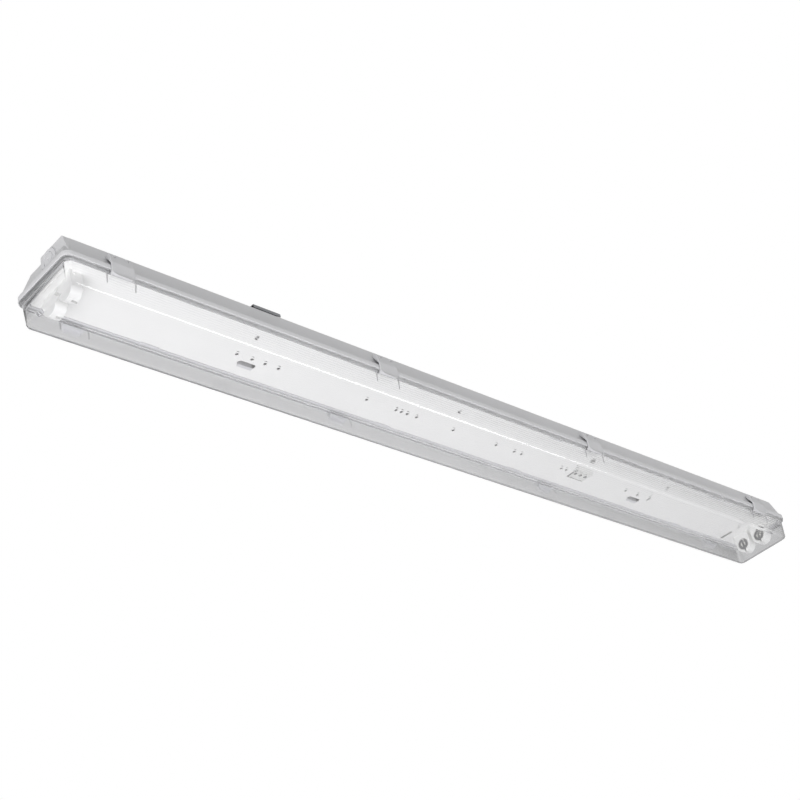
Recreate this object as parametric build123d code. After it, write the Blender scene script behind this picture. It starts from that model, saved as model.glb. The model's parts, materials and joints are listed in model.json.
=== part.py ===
from build123d import *
import math
import os

# Vapor tight light fixture for two straight lamps, held under a ceiling by two brackets.
# X runs along the fixture, Z points up at the ceiling, and -Y is the long side nearest the viewer.
# Everything is drawn from the rim plane, where housing and diffuser meet, with Z = 0 there.
# On export it moves down, so that the origin lies on the ceiling midway between the brackets.

# Lamps, which are not part of the fixture but set its size (millimetres)
lamp_length = 1199.4
lamp_pitch = 30.0
lamp_drop = 16.0
lamp_play = 0.6
pin_pitch = 12.7

# Overall
end_room = 35.3
length = lamp_length + 2 * end_room
width = 98.0
housing_height = 36.0
rim_corner = 10.0
cut_past = 1.0

# Housing shell
skirt_height = 7.0
skirt_wall = 2.4
ledge = 2.5
ledge_round = 1.5
wall_lean = 10.5
housing_wall = 2.4
top_round = 2.4
hood_corner = 8.0
hood_top_corner = 3.0
cavity_round = 3.0
end_step = 3.4

# Groove and gasket in the rim
groove_width = 3.0
groove_depth = 5.5
groove_lip = 2.2
gasket_height = 3.0
gasket_gap = 0.1

# Flat pad and cable entry at each end
pad_inset = 7.5
pad_far_edge = 6.0
entry_y = -10.0
entry_z = 22.0
entry_radius = 10.2
plug_flange = 12.6
plug_flange_thick = 1.6
plug_gap = 0.1
plug_ring = 8.6
plug_ring_width = 1.0
plug_dot = 1.5
plug_relief = 0.7

# Diffuser
diffuser_wall = 2.4
face_thick = 2.2
face_room = 1.8
flange_gap = 0.4
flange_lift = 0.2
flange_edge = 1.2
flange_reach = 3.0
wall_inset = 3.1
face_side_inset = 4.5
face_end_inset = 6.5
cover_corner = 8.0
face_corner = 8.0
face_round = 3.5
inner_bevel = 3.0
tongue_thick = 1.8
rib_pitch = 3.4
rib_height = 0.4
rib_back = 0.1
rib_band = 13.6
gusset_thick = 1.4
gusset_depth = 12.0
gusset_gap = 3.0

# Clips
clip_end_inset = 69.5
clips_per_side = 4
clip_width = 28.0
clip_wall = 2.2
clip_gap = 0.5
pivot_below_top = 14.5
barrel_radius = 3.0
barrel_clear = 0.4
pin_radius = 1.6
pin_clear = 0.08
lug_thick = 4.0
lug_spread = 16.0
lug_radius = 3.0
lug_side_gap = 0.3
lug_window = 5.5
snap_mouth = 2.7
snap_lean = 30.0
bend_rise = 1.5
hook_angle = 50.0
hook_gap = 0.35
hook_bite = 2.3
hook_tip = 0.8
tongue_drop = 9.0
tongue_flare = 1.2
tongue_tip = 2.0
tongue_corner = 7.0

# Gear tray
tray_lift = 2.0
tray_sheet = 0.8
tray_gap = 0.3
tray_flange = 5.5
tray_overlap = 4.2
tray_corner_cut = 3.0
tray_flange_stop = 5.0
small_hole = 2.2
side_hole = 2.5
centre_row_y = 8.5
centre_row = (
    (-372, -350, -331, -311, -173, -124, -115, -105, -89, -24)
    + (55, 90, 104, 184, 194, 321, 347)
)
side_row_inset = 13.8
side_row = (-370, -46, 375)
fixing_slot_x = 373.0
fixing_slot_length = 9.0
fixing_slot_width = 3.6
end_slit_back = 21.0
end_slit_y = -7.0
end_slit_step = 7.0
end_slit_length = 9.0
end_slit_width = 2.4
lead_slot_back = 18.0
lead_slot_y = 27.0
lead_slot_length = 22.0
lead_slot_width = 5.0

# Snap latches and lips that hold the gear tray
latch_x = 350.0
latch_y = 20.0
latch_slot_length = 25.0
latch_slot_width = 8.0
latch_width = 20.0
latch_thick = 2.2
latch_gap = 0.4
latch_bite = 1.6
latch_hook = 1.3
lip_places = (-470, -120, 120, 470)
lip_length = 24.0
lip_reach = 1.8
lip_low = 0.3
seat_gap = 0.2

# Lampholders
holder_width = 25.0
holder_depth = 14.5
holder_foot = 12.0
holder_round = 1.0
notch_gap = 0.1
rotor_radius = 9.0
rotor_clear = 0.08
rotor_thick = 5.6
rotor_inset = 0.2
rotor_web = 0.8
rotor_hub = 4.2
rotor_channel = 8.2
rotor_channel_depth = 4.0
pin_slot = 3.2
pin_slot_depth = 8.0
contact_pocket_width = 16.0
contact_pocket_height = 7.0
contact_pocket_depth = 6.5
contact_thick = 0.8
contact_height = 5.0
contact_length = 5.4

# Terminal block and its window
block_x = 222.0
block_y = 8.0
block_length = 29.0
block_width = 20.0
block_height = 15.4
block_gap = 0.6
block_spare = 2.6
block_ear = 6.0
block_ear_thick = 2.2
block_drop = 1.4
pole_pitch = 10.0
screw_radius = 2.4
screw_clear = 0.1
screw_depth = 6.0
screw_slot = 0.8
screw_slot_depth = 1.0

# Wires
wire_radius = 1.1
wire_bend = 5.0
live_rise = 8.5
neutral_rise = 3.4
wire_spread = 2.0
lane_inset = 7.0
lane_step = 4.0
cross_lead = 12.0
cross_step = 12.0
holder_wire_offset = 4.0

# Earth point
earth_offset = 11.0
earth_screw_radius = 2.0
earth_head_radius = 3.8
earth_head_thick = 1.3
earth_cross = 4.6
earth_shank = 7.0
earth_ring_radius = 4.2
earth_ring_thick = 0.8
earth_barrel_length = 8.0
earth_barrel_radius = 1.8
earth_barrel_rise = 1.9
earth_bend = 3.0
earth_nut_flats = 7.0
earth_nut_thick = 3.2
earth_clear = 0.1

# Ceiling brackets
bracket_rise = 7.0
bracket_x = 355.0
bracket_width = 38.5
bracket_sheet = 1.2
bracket_bend = 2.0
crown_half = 16.0
web_lean = 3.0
foot_edge = 27.5
wing_edge = 35.5
wing_drop = 5.0
screw_slot_x_length = 12.0
ceiling_screw = 5.5
rail_wall = 1.8
rail_lip = 1.5
rail_lip_thick = 1.2
rail_gap = 0.2
rail_spare = 4.0

# Sizes that follow
half_l = length / 2
half_w = width / 2
foot_l = half_l - ledge
foot_w = half_w - ledge
top_l = foot_l - wall_lean
top_w = foot_w - wall_lean
rim_stack = skirt_wall + groove_width + groove_lip
open_l = half_l - rim_stack
open_w = half_w - rim_stack
lip_top = groove_depth + housing_wall
roof = housing_height - housing_wall
pad_x = half_l - pad_inset
tray_top = tray_lift + tray_sheet
tray_half_w = open_w - tray_gap
holder_front = lamp_length / 2 + lamp_play
holder_back = holder_front + holder_depth
tray_half_l = open_l - tray_gap
tray_seat = holder_front + tray_overlap
ceiling = housing_height + bracket_rise
diffuser_depth = lamp_drop + holder_width / 2 + face_room + face_thick
lane_far = tray_half_w - tray_sheet - lane_inset
lane_near = lane_far - lane_step
cross_far = holder_front - cross_lead
cross_near = cross_far - cross_step
side_row_y = side_row_inset - tray_half_w
earth_x = block_x - earth_offset
earth_y = side_row_y
earth_barrel_end = earth_y + earth_ring_radius + earth_barrel_length

os.makedirs("parts", exist_ok=True)


def save(name, shape):
    """Hang the piece from the ceiling and write it."""
    export_step(Pos(0, 0, -ceiling) * shape, "parts/" + name + ".step")


def block(x0, x1, y0, y1, z0, z1):
    """Box between two corners."""
    middle = Pos((x0 + x1) / 2, (y0 + y1) / 2, (z0 + z1) / 2)
    return middle * Box(x1 - x0, y1 - y0, z1 - z0)


def slab(half_x, half_y, corner, low, high):
    """Upright prism on a rounded rectangle."""
    outline = RectangleRounded(2 * half_x, 2 * half_y, corner)
    return extrude(Pos(0, 0, low) * outline, high - low)


def leaning(base, top, low, high):
    """Ruled body from one rounded rectangle (half x, half y, corner) to another."""
    lower = Pos(0, 0, low) * RectangleRounded(2 * base[0], 2 * base[1], base[2])
    upper = Pos(0, 0, high) * RectangleRounded(2 * top[0], 2 * top[1], top[2])
    return loft([lower, upper], ruled=True)


def ring(outer, inner, low, high):
    """Closed band between two rounded rectangles (half x, half y, corner)."""
    return slab(*outer, low, high) - slab(*inner, low, high)


def side_prism(points, thick):
    """Outline of (outward, up) points carried along X, centred on X = 0."""
    face = Plane.YZ * make_face(Polyline(*points, close=True))
    return Pos(-thick / 2, 0, 0) * extrude(face, thick)


def rod_x(radius, x0, x1, y, z):
    """Round bar along X."""
    return Pos((x0 + x1) / 2, y, z) * Rot(0, 90, 0) * Cylinder(radius, x1 - x0)


def rod_z(radius, x, y, low, high):
    """Round bar along Z."""
    return Pos(x, y, (low + high) / 2) * Cylinder(radius, high - low)


def on_side(shape, x, near):
    """Put a piece drawn for the far side at X, on the near side if asked."""
    turn = 180 if near else 0
    return Pos(x, 0, 0) * Rot(0, 0, turn) * shape


def wall_at(level):
    """Outward distance of the long wall's outer face at a level."""
    return foot_w - wall_lean * (level - skirt_height) / (housing_height - skirt_height)


clip_pitch = (length - 2 * clip_end_inset) / (clips_per_side - 1)
clip_places = [(i - (clips_per_side - 1) / 2) * clip_pitch for i in range(clips_per_side)]
pivot_z = housing_height - pivot_below_top
wall_slope = math.atan2(wall_lean, housing_height - skirt_height)
pivot_u = wall_at(pivot_z) + (barrel_radius + barrel_clear) / math.cos(wall_slope)


# Housing


def clip_lug():
    """Pair of hooks on the wall that a clip's pin snaps into."""
    root_high = pivot_z + lug_radius
    root_low = pivot_z - 2 * lug_radius
    points = [
        (wall_at(root_high) - housing_wall / 2, root_high),
        (pivot_u, root_high),
        (pivot_u + lug_radius / 2, pivot_z),
        (pivot_u, pivot_z - lug_radius),
        (wall_at(root_low) - housing_wall / 2, root_low),
    ]
    lug = side_prism(points, lug_thick)
    lug += rod_x(lug_radius, -lug_thick / 2, lug_thick / 2, pivot_u, pivot_z)
    lug -= rod_x(pin_radius + pin_clear, -lug_thick, lug_thick, pivot_u, pivot_z)
    mouth = block(-lug_thick, lug_thick, -snap_mouth / 2, snap_mouth / 2, 0, 2 * lug_radius)
    lug -= Pos(0, pivot_u, pivot_z) * Rot(-snap_lean, 0, 0) * mouth
    return [Pos(side * lug_spread / 2, 0, 0) * lug for side in (-1, 1)]


def entry_pad():
    """Upright flat on the near half of an end wall, drawn for the +X end."""
    points = [
        (-foot_w, skirt_height),
        (pad_far_edge, skirt_height),
        (pad_far_edge, housing_height),
        (-top_w, housing_height),
    ]
    depth = wall_lean + pad_x - top_l
    pad = Pos(pad_x - depth / 2, 0, 0) * side_prism(points, depth)
    return fillet(pad.faces().sort_by(Axis.Z)[-1].edges(), top_round)


def bracket_rails(x):
    """Two rails on the roof whose lips hold a bracket's feet."""
    half = bracket_width / 2 + rail_spare
    rail_in = foot_edge + rail_gap
    lip_low_z = housing_height + bracket_sheet + rail_gap
    rails = []
    for side in (-1, 1):
        y0, y1 = sorted((side * rail_in, side * (rail_in + rail_wall)))
        rails.append(block(x - half, x + half, y0, y1, roof, lip_low_z + rail_lip_thick))
        y0, y1 = sorted((side * (rail_in - rail_lip), side * (rail_in + rail_wall)))
        rails.append(block(x - half, x + half, y0, y1, lip_low_z, lip_low_z + rail_lip_thick))
    return rails


def tray_latch(x):
    """Snap post that comes down from the roof through a slot of the gear tray."""
    out = latch_y + latch_slot_width / 2 - latch_gap
    low = tray_lift - seat_gap - latch_hook
    x0 = x - latch_width / 2
    x1 = x + latch_width / 2
    post = block(x0, x1, out - latch_thick, out, low, housing_height - housing_wall / 2)
    hook = block(x0, x1, out - latch_thick, out + latch_gap + latch_bite, low, low + latch_hook)
    return [post, hook]


def make_housing():
    skirt = slab(half_l, half_w, rim_corner, 0, skirt_height)
    skirt = fillet(skirt.faces().sort_by(Axis.Z)[-1].edges(), ledge_round)
    hood = leaning(
        (foot_l, foot_w, hood_corner),
        (top_l, top_w, hood_top_corner),
        skirt_height,
        housing_height,
    )
    hood = fillet(hood.faces().sort_by(Axis.Z)[-1].edges(), top_round)
    pad = entry_pad()
    body = skirt + hood + [pad, mirror(pad, Plane.YZ)]
    spot = rod_x(plug_flange + plug_gap, pad_x, half_l, entry_y, entry_z)
    body -= [spot, mirror(spot, Plane.YZ)]

    body -= slab(open_l, open_w, rim_corner - rim_stack, -cut_past, lip_top)
    body -= leaning(
        (open_l - end_step, open_w, rim_corner - rim_stack),
        (top_l - housing_wall, top_w - housing_wall, cavity_round),
        lip_top,
        roof,
    )
    groove_out = skirt_wall
    groove_in = skirt_wall + groove_width
    body -= ring(
        (half_l - groove_out, half_w - groove_out, rim_corner - groove_out),
        (half_l - groove_in, half_w - groove_in, rim_corner - groove_in),
        0,
        groove_depth,
    )
    body -= rod_x(entry_radius, -half_l, half_l, entry_y, entry_z)

    extras = []
    lug = clip_lug()
    for near in (True, False):
        for x in clip_places:
            extras += [on_side(piece, x, near) for piece in lug]
    lip_high = tray_lift - seat_gap
    for x in lip_places:
        for side in (-1, 1):
            y0, y1 = sorted((side * (open_w - lip_reach), side * (open_w + groove_lip / 2)))
            extras.append(block(x - lip_length / 2, x + lip_length / 2, y0, y1, lip_low, lip_high))
    for x in (-bracket_x, bracket_x):
        extras += bracket_rails(x)
    for x in (-latch_x, latch_x):
        extras += tray_latch(x)
    return body + extras


def make_gasket():
    out = skirt_wall + gasket_gap
    inside = skirt_wall + groove_width - gasket_gap
    return ring(
        (half_l - out, half_w - out, rim_corner - out),
        (half_l - inside, half_w - inside, rim_corner - inside),
        groove_depth - gasket_height,
        groove_depth,
    )


def make_entry_plug():
    """Rubber plug at the +X end, with a moulded ring and a centre dot on its face."""
    face = pad_x + plug_flange_thick
    plug = rod_x(plug_flange, pad_x, face, entry_y, entry_z)
    plug += rod_x(entry_radius - plug_gap, pad_x - housing_wall, pad_x, entry_y, entry_z)
    moulded = rod_x(plug_ring, face - plug_relief, face, entry_y, entry_z)
    moulded -= rod_x(plug_ring - plug_ring_width, face - plug_relief, face, entry_y, entry_z)
    moulded += rod_x(plug_dot, face - plug_relief, face, entry_y, entry_z)
    return plug - moulded


# Diffuser

flange_top = -flange_lift
flange_low = flange_top - flange_edge
flange_l = half_l - flange_gap
flange_w = half_w - flange_gap
flange_corner = rim_corner - flange_gap
chamfer_rise = flange_reach * math.tan(math.radians(hook_angle))
flange_root = flange_low - chamfer_rise
cover_top = (half_l - wall_inset, half_w - wall_inset, cover_corner)
cover_face = (half_l - face_end_inset, half_w - face_side_inset, face_corner)
face_inner = -diffuser_depth + face_thick


def cover_at(level):
    """Outward distance of the diffuser's long wall at a level."""
    share = (flange_top - level) / (flange_top + diffuser_depth)
    return cover_top[1] + (cover_face[1] - cover_top[1]) * share


def toothed(start, end):
    """Points from start to end with ribs that stand off to the left of the way."""
    run = Vector(*end) - Vector(*start)
    count = max(1, round(run.length / rib_pitch))
    rise = Vector(-run.Y, run.X).normalized() * rib_height
    points = []
    for i in range(count):
        foot = Vector(*start) + run * (i / count)
        crest = Vector(*start) + run * ((i + 0.5) / count) + rise
        points += [(foot.X, foot.Y), (crest.X, crest.Y)]
    return points


def ribbed_hollow():
    """Inside of the diffuser, with fine ribs along X on its walls and on bands of the face beside them."""
    inset = diffuser_wall + rib_back
    high = flange_top + cut_past
    low = face_inner + rib_back
    bend = low + inner_bevel
    top_half = cover_at(flange_top) - inset
    bend_half = cover_at(bend) - inset
    low_half = cover_at(low) - inset - inner_bevel
    points = toothed((-top_half, flange_top), (-bend_half, bend))
    points.append((-bend_half, bend))
    points += toothed((-low_half, low), (rib_band - low_half, low))
    points.append((rib_band - low_half, low))
    points += toothed((low_half - rib_band, low), (low_half, low))
    points.append((low_half, low))
    points += toothed((bend_half, bend), (top_half, flange_top))
    points += [(top_half, flange_top), (top_half, high), (-top_half, high)]
    prism = side_prism(points, length)
    shape = leaning(
        (cover_face[0] - diffuser_wall, cover_face[1] - diffuser_wall, cover_face[2] - diffuser_wall),
        (cover_top[0] - diffuser_wall, cover_top[1] - diffuser_wall, cover_top[2] - diffuser_wall),
        face_inner,
        high,
    )
    shape = fillet(shape.faces().sort_by(Axis.Z)[0].edges(), face_round - diffuser_wall)
    return shape & prism


def make_diffuser():
    plate = slab(flange_l, flange_w, flange_corner, flange_low, flange_top)
    plate += leaning(
        (flange_l - flange_reach, flange_w - flange_reach, flange_corner - flange_reach),
        (flange_l, flange_w, flange_corner),
        flange_root,
        flange_low,
    )
    cover = leaning(cover_face, cover_top, -diffuser_depth, flange_top)
    cover = fillet(cover.faces().sort_by(Axis.Z)[0].edges(), face_round)
    body = plate + cover - ribbed_hollow()

    middle = skirt_wall + groove_width / 2
    out = middle - tongue_thick / 2
    inside = middle + tongue_thick / 2
    body += ring(
        (half_l - out, half_w - out, rim_corner - out),
        (half_l - inside, half_w - inside, rim_corner - inside),
        flange_low,
        groove_depth - gasket_height - gasket_gap,
    )
    low = flange_root - gusset_depth
    points = [
        (cover_at(flange_low) - diffuser_wall / 2, flange_low),
        (flange_w - flange_reach / 2, flange_low - chamfer_rise / 2),
        (cover_at(low) - diffuser_wall / 2, low),
    ]
    gusset = side_prism(points, gusset_thick)
    offset = clip_width / 2 + gusset_gap + gusset_thick / 2
    ribs = []
    for near in (True, False):
        for x in clip_places:
            ribs += [on_side(gusset, x + side * offset, near) for side in (-1, 1)]
    return body + ribs


# Clips


def make_clip():
    """Lever on the far side, centred on X = 0: barrel on top, hook and finger tongue below."""
    inner = half_w + clip_gap
    outer = inner + clip_wall
    bend_z = skirt_height + bend_rise

    def tangent(u, z, turn):
        reach = math.hypot(u - pivot_u, z - pivot_z)
        angle = math.atan2(z - pivot_z, u - pivot_u) + turn * math.acos(barrel_radius / reach)
        return (pivot_u + barrel_radius * math.cos(angle), pivot_z + barrel_radius * math.sin(angle))

    slope = math.tan(math.radians(hook_angle))
    drop = hook_gap / math.cos(math.radians(hook_angle))

    def hook_face(u):
        return flange_low + (u - flange_w) * slope - drop

    tip = flange_w - hook_bite
    foot = -tongue_drop
    points = [
        tangent(outer, bend_z, 1),
        (outer, bend_z),
        (outer, hook_face(tip)),
        (outer + tongue_flare, foot),
        (outer + tongue_flare - tongue_tip, foot),
        (inner, hook_face(tip) - 2 * hook_tip),
        (tip, hook_face(tip) - hook_tip),
        (tip, hook_face(tip)),
        (inner, hook_face(inner)),
        (inner, bend_z),
        tangent(inner, bend_z, -1),
    ]
    half = clip_width / 2
    body = side_prism(points, clip_width) + rod_x(barrel_radius, -half, half, pivot_u, pivot_z)
    high = pivot_z + 2 * barrel_radius
    front = Pos(0, (high + foot) / 2) * Rectangle(clip_width, high - foot)
    front = fillet(front.vertices().group_by(Axis.Y)[0], tongue_corner)
    body &= extrude(Plane.XZ * front, width, both=True)
    for side in (-1, 1):
        middle = side * lug_spread / 2
        reach = lug_thick / 2 + lug_side_gap
        body -= rod_x(lug_window, middle - reach, middle + reach, pivot_u, pivot_z)
    return body + rod_x(pin_radius, -half, half, pivot_u, pivot_z)


# Gear tray


def make_tray():
    tray = block(-tray_half_l, tray_half_l, -tray_half_w, tray_half_w, tray_lift, tray_top)
    corners = tray.edges().filter_by(Axis.Z)
    tray = chamfer(corners, tray_corner_cut)
    stop = tray_half_l - tray_corner_cut - tray_flange_stop
    for side in (-1, 1):
        y0, y1 = sorted((side * (tray_half_w - tray_sheet), side * tray_half_w))
        tray += block(-stop, stop, y0, y1, tray_lift, tray_lift + tray_flange)

    past = tray_top + cut_past
    cuts = [rod_z(small_hole, x, centre_row_y, 0, past) for x in centre_row]
    cuts += [rod_z(side_hole, x, side_row_y, 0, past) for x in side_row]
    cuts.append(rod_z(earth_screw_radius + earth_clear, earth_x, earth_y, 0, past))
    for x in (-latch_x, latch_x):
        slot = SlotOverall(latch_slot_length, latch_slot_width)
        cuts.append(extrude(Pos(x, latch_y, 0) * slot, past))
    fixing = Rot(0, 0, 90) * SlotOverall(fixing_slot_length, fixing_slot_width)
    cuts.append(extrude(Pos(fixing_slot_x, centre_row_y, 0) * fixing, past))
    x0 = block_x - block_length / 2 - block_gap
    x1 = block_x + block_length / 2 + block_spare
    y0 = block_y - block_width / 2 - block_gap
    y1 = block_y + block_width / 2 + block_spare
    cuts.append(block(x0, x1, y0, y1, 0, past))
    for i in (-1, 0, 1):
        slit = SlotOverall(end_slit_length, end_slit_width)
        place = Pos(holder_front - end_slit_back, end_slit_y + i * end_slit_step, 0)
        cuts.append(extrude(place * slit, past))
    for end in (-1, 1):
        x0, x1 = sorted((end * tray_seat, end * (holder_back + notch_gap)))
        for y in (-lamp_pitch / 2, lamp_pitch / 2):
            reach = holder_width / 2 + notch_gap
            cuts.append(block(x0, x1, y - reach, y + reach, 0, past))
    lead = Rot(0, 0, 90) * SlotOverall(lead_slot_length, lead_slot_width)
    cuts.append(extrude(Pos(holder_front - lead_slot_back, lead_slot_y, 0) * lead, past))
    return tray - cuts


# Lampholders, drawn at the +X end on the lamp axis Y = 0


def make_holder():
    half = holder_width / 2
    top = tray_top + holder_foot
    body = block(holder_front, holder_back, -half, half, -lamp_drop, top)
    body += rod_x(half, holder_front, holder_back, 0, -lamp_drop)
    body = fillet(body.faces().sort_by(Axis.X)[0].edges(), holder_round)
    body -= block(
        holder_front - cut_past,
        tray_seat + notch_gap,
        -half - cut_past,
        half + cut_past,
        tray_lift - notch_gap,
        tray_top + notch_gap,
    )
    pocket_floor = holder_front + rotor_inset + rotor_thick
    body -= rod_x(rotor_radius + rotor_clear, holder_front - cut_past, pocket_floor, 0, -lamp_drop)
    body -= block(
        holder_front - cut_past,
        holder_front + pin_slot_depth,
        -pin_slot / 2,
        pin_slot / 2,
        -lamp_drop - 2 * half,
        -lamp_drop,
    )
    body -= block(
        pocket_floor - cut_past,
        pocket_floor + contact_pocket_depth,
        -contact_pocket_width / 2,
        contact_pocket_width / 2,
        -lamp_drop - contact_pocket_height / 2,
        -lamp_drop + contact_pocket_height / 2,
    )
    return body


def make_rotor():
    x0 = holder_front + rotor_inset
    x1 = x0 + rotor_thick
    rotor = rod_x(rotor_radius, x0, x1, 0, -lamp_drop)
    floor = x0 + rotor_channel_depth
    rotor -= rod_x(rotor_channel, x0 - cut_past, floor, 0, -lamp_drop)
    rotor += rod_x(rotor_hub, x0, floor, 0, -lamp_drop)
    reach = rotor_radius + cut_past
    slot = block(x0 - cut_past, x1 + cut_past, -pin_slot / 2, pin_slot / 2, -reach, reach)
    rotor -= Pos(0, 0, -lamp_drop) * slot
    bridge = rod_x(rotor_radius - pin_slot / 2, x1 - rotor_web, x1, 0, -lamp_drop)
    return rotor + bridge


def make_contacts():
    """Two spring tongues behind the rotor, one for each pin of the lamp."""
    x1 = holder_front + rotor_inset + rotor_thick + contact_pocket_depth
    low = -lamp_drop - contact_height / 2
    high = -lamp_drop + contact_height / 2
    half = contact_thick / 2
    tongues = []
    for side in (-1, 1):
        y = side * pin_pitch / 2
        tongues.append(block(x1 - contact_length, x1, y - half, y + half, low, high))
    return tongues


# Terminal block


def pole_places():
    return [block_x + i * pole_pitch for i in (-1, 0, 1)]


block_low = tray_lift - block_drop
block_far = block_y + block_width / 2
block_near = block_y - block_width / 2


def make_terminal_block():
    x0 = block_x - block_length / 2
    x1 = block_x + block_length / 2
    body = block(x0, x1, block_near, block_far, block_low, block_low + block_height)
    ear_top = tray_top + block_ear_thick
    body += block(x0 - block_ear, x1 + block_ear, block_near, block_far, tray_top, ear_top)
    for x in pole_places():
        body -= rod_z(screw_radius + screw_clear, x, block_y, block_low - cut_past, block_low + screw_depth)
    return body


def make_terminal_screws():
    screws = []
    for x in pole_places():
        low = block_low + screw_slot_depth
        screw = rod_z(screw_radius, x, block_y, low, block_low + screw_depth)
        slot = block(
            x - screw_radius,
            x + screw_radius,
            block_y - screw_slot / 2,
            block_y + screw_slot / 2,
            low - cut_past,
            low + screw_slot_depth,
        )
        screws.append(screw - slot)
    return screws


# Wires


def make_wire(points, radii):
    """Round wire along straight runs joined by arcs."""
    path = FilletPolyline(*points, radius=radii)
    start = Plane(origin=path @ 0, z_dir=path % 0)
    return sweep(start * Circle(wire_radius), path=path)


def lamp_wire(pole_x, lane, cross, holder_y, level):
    """From a pole of the terminal block along a lane of the tray to the foot of a lampholder."""
    points = [
        (pole_x, block_far, level),
        (pole_x, lane, level),
        (cross, lane, level),
        (cross, holder_y, level),
        (holder_front, holder_y, level),
    ]
    return make_wire(points, wire_bend)


def make_earth_wire():
    level = tray_top + earth_barrel_rise
    turn_y = (block_near + earth_barrel_end) / 2
    points = [
        (block_x, block_near, level),
        (block_x, turn_y, level),
        (earth_x, turn_y, level),
        (earth_x, earth_barrel_end, level),
    ]
    return make_wire(points, earth_bend)


# Earth point


def make_earth_screw():
    head_low = tray_lift - earth_head_thick
    screw = rod_z(earth_head_radius, earth_x, earth_y, head_low, tray_lift)
    screw += rod_z(earth_screw_radius, earth_x, earth_y, tray_lift, tray_lift + earth_shank)
    for turn in (0, 90):
        cross = Box(earth_cross, screw_slot, screw_slot_depth)
        screw -= Pos(earth_x, earth_y, head_low) * Rot(0, 0, turn) * cross
    return screw


def make_earth_terminal():
    """Ring under the nut with a crimped barrel towards the terminal block."""
    ring_top = tray_top + earth_ring_thick
    barrel_start = earth_y + earth_ring_radius
    body = rod_z(earth_ring_radius, earth_x, earth_y, tray_top, ring_top)
    body += block(
        earth_x - earth_barrel_radius,
        earth_x + earth_barrel_radius,
        earth_y,
        barrel_start + earth_ring_thick,
        tray_top,
        ring_top,
    )
    barrel = Rot(90, 0, 0) * Cylinder(earth_barrel_radius, earth_barrel_end - barrel_start)
    body += Pos(earth_x, (earth_barrel_end + barrel_start) / 2, tray_top + earth_barrel_rise) * barrel
    bore = earth_screw_radius + earth_clear
    return body - rod_z(bore, earth_x, earth_y, tray_top - cut_past, ring_top + cut_past)


def make_earth_nut():
    low = tray_top + earth_ring_thick
    high = low + earth_nut_thick
    bore = earth_screw_radius + earth_clear
    hexagon = RegularPolygon(earth_nut_flats / 2, 6, major_radius=False)
    nut = extrude(Pos(earth_x, earth_y, low) * hexagon, earth_nut_thick)
    return nut - rod_z(bore, earth_x, earth_y, low - cut_past, high + cut_past)


# Ceiling brackets


def make_bracket():
    """Bent sheet drawn at X = 0, its latch wing on the near side."""
    half = bracket_sheet / 2
    crown_z = ceiling - half
    foot_z = housing_height + half
    hat = FilletPolyline(
        (-foot_edge, foot_z),
        (-crown_half - web_lean, foot_z),
        (-crown_half, crown_z),
        (crown_half, crown_z),
        (crown_half + web_lean, foot_z),
        (foot_edge, foot_z),
        radius=bracket_bend,
    )
    wing = FilletPolyline(
        (0, crown_z),
        (-wing_edge + half, crown_z),
        (-wing_edge + half, crown_z - wing_drop),
        radius=bracket_bend,
    )
    sheet = Plane.YZ * (trace(hat, bracket_sheet) + trace(wing, bracket_sheet))
    body = extrude(sheet, bracket_width / 2, both=True)
    slot = SlotOverall(screw_slot_x_length + ceiling_screw, ceiling_screw)
    return body - extrude(Pos(0, 0, housing_height) * slot, 2 * bracket_rise)


# All the pieces

save("housing", make_housing())
save("gasket", make_gasket())
save("diffuser", make_diffuser())
save("gear_tray", make_tray())

clip_solid = make_clip()
for near, side_name in ((True, "near"), (False, "far")):
    for i, x in enumerate(clip_places):
        save("clip_" + side_name + "_" + str(i + 1), on_side(clip_solid, x, near))

holder_solid = make_holder()
rotor_solid = make_rotor()
contact_solids = make_contacts()
all_contacts = []
for turn, end_name in ((180, "left"), (0, "right")):
    for side, side_name in ((-1, "near"), (1, "far")):
        place = Pos(0, side * lamp_pitch / 2, 0) * Rot(0, 0, turn)
        save("lampholder_" + end_name + "_" + side_name, place * holder_solid)
        save("rotor_" + end_name + "_" + side_name, place * rotor_solid)
        all_contacts += [place * tongue for tongue in contact_solids]
save("lampholder_contacts", Compound(all_contacts))

save("terminal_block", make_terminal_block())
save("terminal_screws", Compound(make_terminal_screws()))

live_x, earth_pole_x, neutral_x = pole_places()
wire_kinds = (
    ("live", live_x, tray_top + live_rise, -holder_wire_offset),
    ("neutral", neutral_x, tray_top + neutral_rise, holder_wire_offset),
)
for kind, pole_x, level, offset in wire_kinds:
    near_end = -lamp_pitch / 2 + offset
    far_end = lamp_pitch / 2 + offset
    save(kind + "_wire_near", lamp_wire(pole_x + wire_spread, lane_near, cross_near, near_end, level))
    save(kind + "_wire_far", lamp_wire(pole_x - wire_spread, lane_far, cross_far, far_end, level))

save("earth_wire", make_earth_wire())
save("earth_terminal", make_earth_terminal())
save("earth_screw", make_earth_screw())
save("earth_nut", make_earth_nut())

bracket_solid = make_bracket()
save("bracket_left", Pos(-bracket_x, 0, 0) * bracket_solid)
save("bracket_right", Pos(bracket_x, 0, 0) * Rot(0, 0, 180) * bracket_solid)
plug_solid = make_entry_plug()
save("entry_plug_right", plug_solid)
save("entry_plug_left", mirror(plug_solid, Plane.YZ))
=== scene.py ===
import json
import math

import bmesh
import bpy
import numpy as np
from mathutils import Matrix, Vector


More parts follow.
